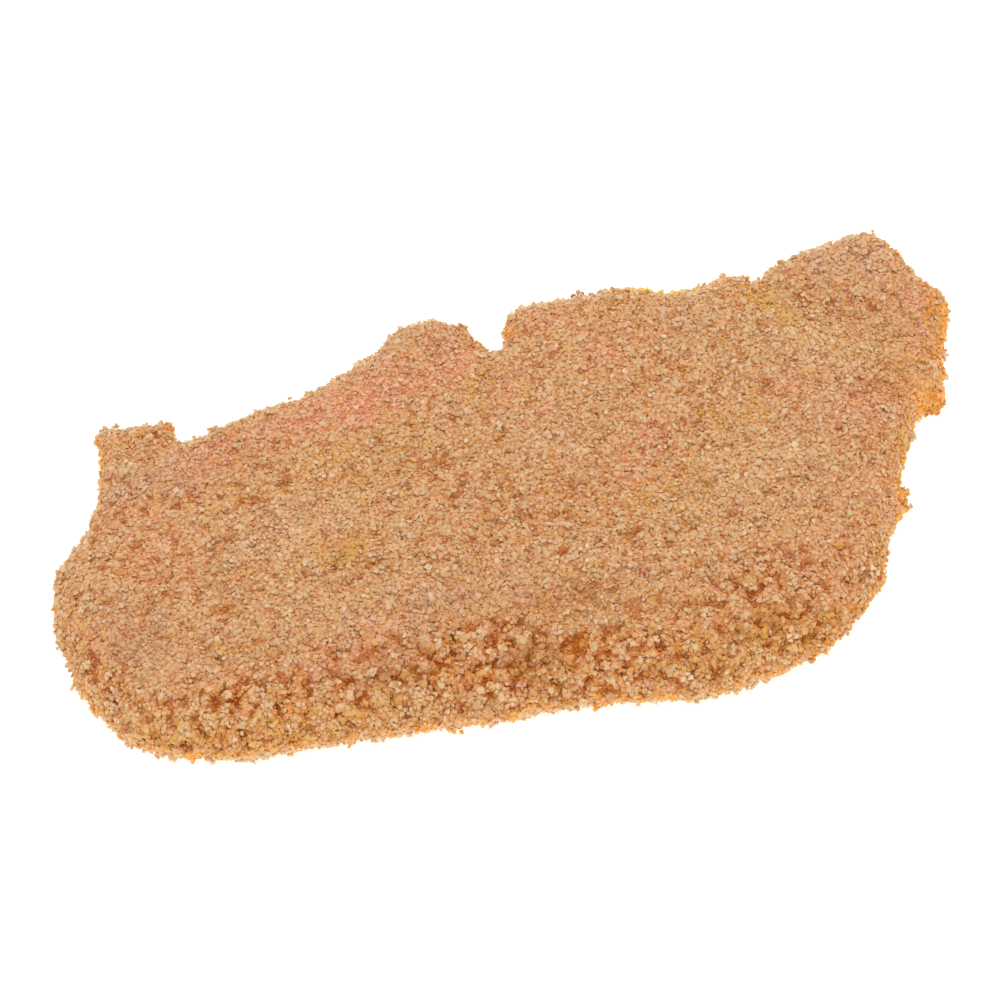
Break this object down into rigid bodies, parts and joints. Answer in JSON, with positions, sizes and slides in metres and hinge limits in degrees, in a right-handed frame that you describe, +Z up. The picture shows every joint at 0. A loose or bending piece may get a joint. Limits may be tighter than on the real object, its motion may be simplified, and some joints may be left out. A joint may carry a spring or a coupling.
{
  "type": "raw breaded schnitzel",
  "caption": "Flat boneless cutlet in a coat of fine dry breadcrumbs, thick and rounded along its front edge, thin and ragged at the far end; ready to be fried.",
  "frame": {"origin": "under the middle of the bounding box, on the flat underside that the cutlet rests on", "axes": "+X along the length, towards the thin ragged end; +Y away from the thick rounded front edge; +Z up out of the crumbed top"},
  "size_m": [0.198, 0.1062, 0.013],
  "materials": {
    "breadcrumb_coat": "dry matte coat of fine uncooked breadcrumbs, pale tan, with pink meat showing through in patches"
  },
  "bodies": {
    "root": {"cutlet": "breadcrumb_coat"}
  },
  "joints": []
}
